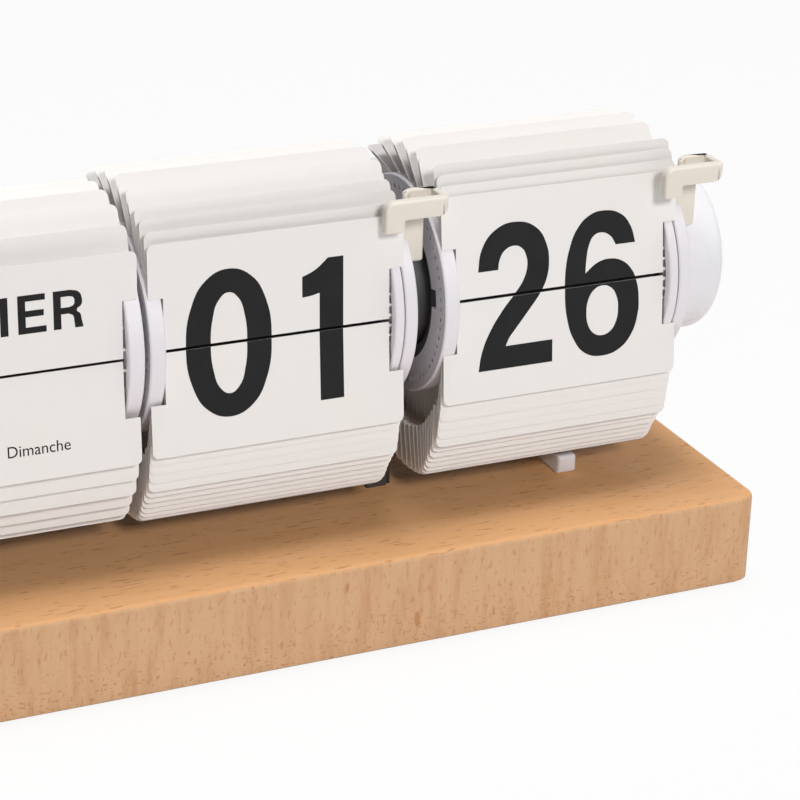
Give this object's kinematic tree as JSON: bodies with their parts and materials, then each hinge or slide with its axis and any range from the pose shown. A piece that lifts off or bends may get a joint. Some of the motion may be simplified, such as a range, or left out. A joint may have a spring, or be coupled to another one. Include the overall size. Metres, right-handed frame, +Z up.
{
  "type": "desk clock with calendar",
  "caption": "Desk flip clock with calendar: date, month, hour and minute card drums on one shaft over a wooden base, with setting knobs.",
  "frame": {"origin": "middle of the underside, where the clock rests", "axes": "+X along the row of drums to the reader's right, +Y to the back, +Z up"},
  "size_m": [0.3566, 0.091, 0.1257],
  "materials": {
    "card_sheet": "satin white card sheet",
    "white_plastic": "moulded, satin",
    "dark_plastic": "moulded, matt dark grey",
    "cream_plastic": "moulded, satin cream",
    "knob_plastic": "smooth moulded",
    "gear_plastic": "moulded acetal",
    "gear_brass": "turned",
    "motor_can": "pressed can",
    "beech": "oiled beech, rounded edges",
    "pad_rubber": "thin dark pad",
    "stand_paint": "matt dark paint",
    "screw_steel": "zinc plated",
    "shaft_steel": "ground steel rod",
    "cell_jacket": "printed steel jacket, plain",
    "contact_metal": "nickelled spring strip",
    "lead_rubber": "black sleeve"
  },
  "bodies": {
    "root": {"base": "beech", "base_pad": "pad_rubber", "stand_rail": "stand_paint", "outer_feet": "white_plastic", "hour_pillar": "stand_paint", "month_pillar": "stand_paint", "foot_screws": "screw_steel", "plate_screws": "screw_steel", "main_shaft": "shaft_steel", "date_end_plate": "white_plastic", "month_end_plate": "white_plastic", "hour_end_plate": "white_plastic", "minute_end_plate": "white_plastic", "date_clip": "cream_plastic", "month_clip": "cream_plastic", "hour_clip": "cream_plastic", "minute_clip": "cream_plastic", "date_upper_cards": "card_sheet", "month_upper_cards": "card_sheet", "hour_upper_cards": "card_sheet", "minute_upper_cards": "card_sheet", "date_lower_cards": "card_sheet", "month_lower_cards": "card_sheet", "hour_lower_cards": "card_sheet", "minute_lower_cards": "card_sheet", "knob_screws": "screw_steel", "movement_case": "dark_plastic", "movement_cover": "dark_plastic", "geared_motor": "motor_can", "battery_cells": "cell_jacket", "battery_contacts": "contact_metal", "battery_cover": "dark_plastic", "battery_cover_screws": "screw_steel", "power_lead": "lead_rubber"},
    "date_drum": {"date_outer_wheel": "white_plastic", "date_plate_side_wheel": "white_plastic", "date_sleeve": "dark_plastic", "date_knob_ring_gear": "gear_plastic"},
    "month_drum": {"month_outer_wheel": "white_plastic", "month_plate_side_wheel": "white_plastic", "month_sleeve": "dark_plastic"},
    "hour_drum": {"hour_outer_wheel": "white_plastic", "hour_plate_side_wheel": "white_plastic", "hour_sleeve": "dark_plastic", "hour_ring_gear": "gear_plastic"},
    "minute_drum": {"minute_outer_wheel": "white_plastic", "minute_plate_side_wheel": "white_plastic", "minute_sleeve": "dark_plastic", "minute_ring_gear": "gear_plastic", "minute_knob_ring_gear": "gear_plastic"},
    "date_flip_card": {"date_flip_card": "card_sheet"},
    "month_flip_card": {"month_flip_card": "card_sheet"},
    "hour_flip_card": {"hour_flip_card": "card_sheet"},
    "minute_flip_card": {"minute_flip_card": "card_sheet"},
    "minute_knob": {"minute_knob": "knob_plastic"},
    "date_knob": {"date_knob": "knob_plastic"},
    "minute_knob_arbor": {"minute_knob_arbor": "gear_brass"},
    "date_knob_arbor": {"date_knob_arbor": "gear_brass"},
    "minute_arbor": {"minute_arbor": "gear_brass"},
    "hour_arbor": {"hour_arbor": "gear_brass"}
  },
  "joints": [
    {"name": "date_drum_spin", "type": "hinge", "parent": "root", "child": "date_drum", "pos_m": [0, 0, 0.0856], "axis": [1, 0, 0], "continuous": true},
    {"name": "month_drum_spin", "type": "hinge", "parent": "root", "child": "month_drum", "pos_m": [0, 0, 0.0856], "axis": [1, 0, 0], "continuous": true},
    {"name": "hour_drum_spin", "type": "hinge", "parent": "root", "child": "hour_drum", "pos_m": [0, 0, 0.0856], "axis": [1, 0, 0], "continuous": true},
    {"name": "minute_drum_spin", "type": "hinge", "parent": "root", "child": "minute_drum", "pos_m": [0, 0, 0.0856], "axis": [1, 0, 0], "continuous": true},
    {"name": "minute_knob_arbor_turn", "type": "hinge", "parent": "root", "child": "minute_knob_arbor", "pos_m": [0, 0, 0.076], "axis": [1, 0, 0], "continuous": true},
    {"name": "date_knob_arbor_turn", "type": "hinge", "parent": "root", "child": "date_knob_arbor", "pos_m": [0, 0, 0.076], "axis": [1, 0, 0], "continuous": true},
    {"name": "minute_arbor_turn", "type": "hinge", "parent": "root", "child": "minute_arbor", "pos_m": [0, -0.00328, 0.09462], "axis": [1, 0, 0], "continuous": true},
    {"name": "hour_arbor_turn", "type": "hinge", "parent": "root", "child": "hour_arbor", "pos_m": [0, 0.00328, 0.07658], "axis": [1, 0, 0], "continuous": true},
    {"name": "minute_knob_turn", "type": "hinge", "parent": "root", "child": "minute_knob", "pos_m": [0, 0, 0.0856], "axis": [1, 0, 0], "continuous": true},
    {"name": "date_knob_turn", "type": "hinge", "parent": "root", "child": "date_knob", "pos_m": [0, 0, 0.0856], "axis": [1, 0, 0], "continuous": true},
    {"name": "date_card_flip", "type": "hinge", "parent": "root", "child": "date_flip_card", "pos_m": [0, -0.0263, 0.08883], "axis": [1, 0, 0], "range_deg": [0, 170], "deforming": ["date_clip"]},
    {"name": "month_card_flip", "type": "hinge", "parent": "root", "child": "month_flip_card", "pos_m": [0, -0.02635, 0.08837], "axis": [1, 0, 0], "range_deg": [0, 170], "deforming": ["month_clip"]},
    {"name": "hour_card_flip", "type": "hinge", "parent": "root", "child": "hour_flip_card", "pos_m": [0, -0.02641, 0.08777], "axis": [1, 0, 0], "range_deg": [0, 170], "deforming": ["hour_clip"]},
    {"name": "minute_card_flip", "type": "hinge", "parent": "root", "child": "minute_flip_card", "pos_m": [0, -0.02612, 0.09007], "axis": [1, 0, 0], "range_deg": [0, 170], "deforming": ["minute_clip"]}
  ],
  "couplings": [
    {"joint": "hour_drum_spin", "follows": "minute_drum_spin", "ratio": 0.083333},
    {"joint": "minute_arbor_turn", "follows": "minute_drum_spin", "ratio": 3},
    {"joint": "hour_arbor_turn", "follows": "minute_drum_spin", "ratio": 0.25},
    {"joint": "minute_knob_turn", "follows": "minute_drum_spin", "ratio": 1},
    {"joint": "minute_knob_arbor_turn", "follows": "minute_drum_spin", "ratio": 3},
    {"joint": "date_knob_turn", "follows": "date_drum_spin", "ratio": 1},
    {"joint": "date_knob_arbor_turn", "follows": "date_drum_spin", "ratio": 3}
  ]
}
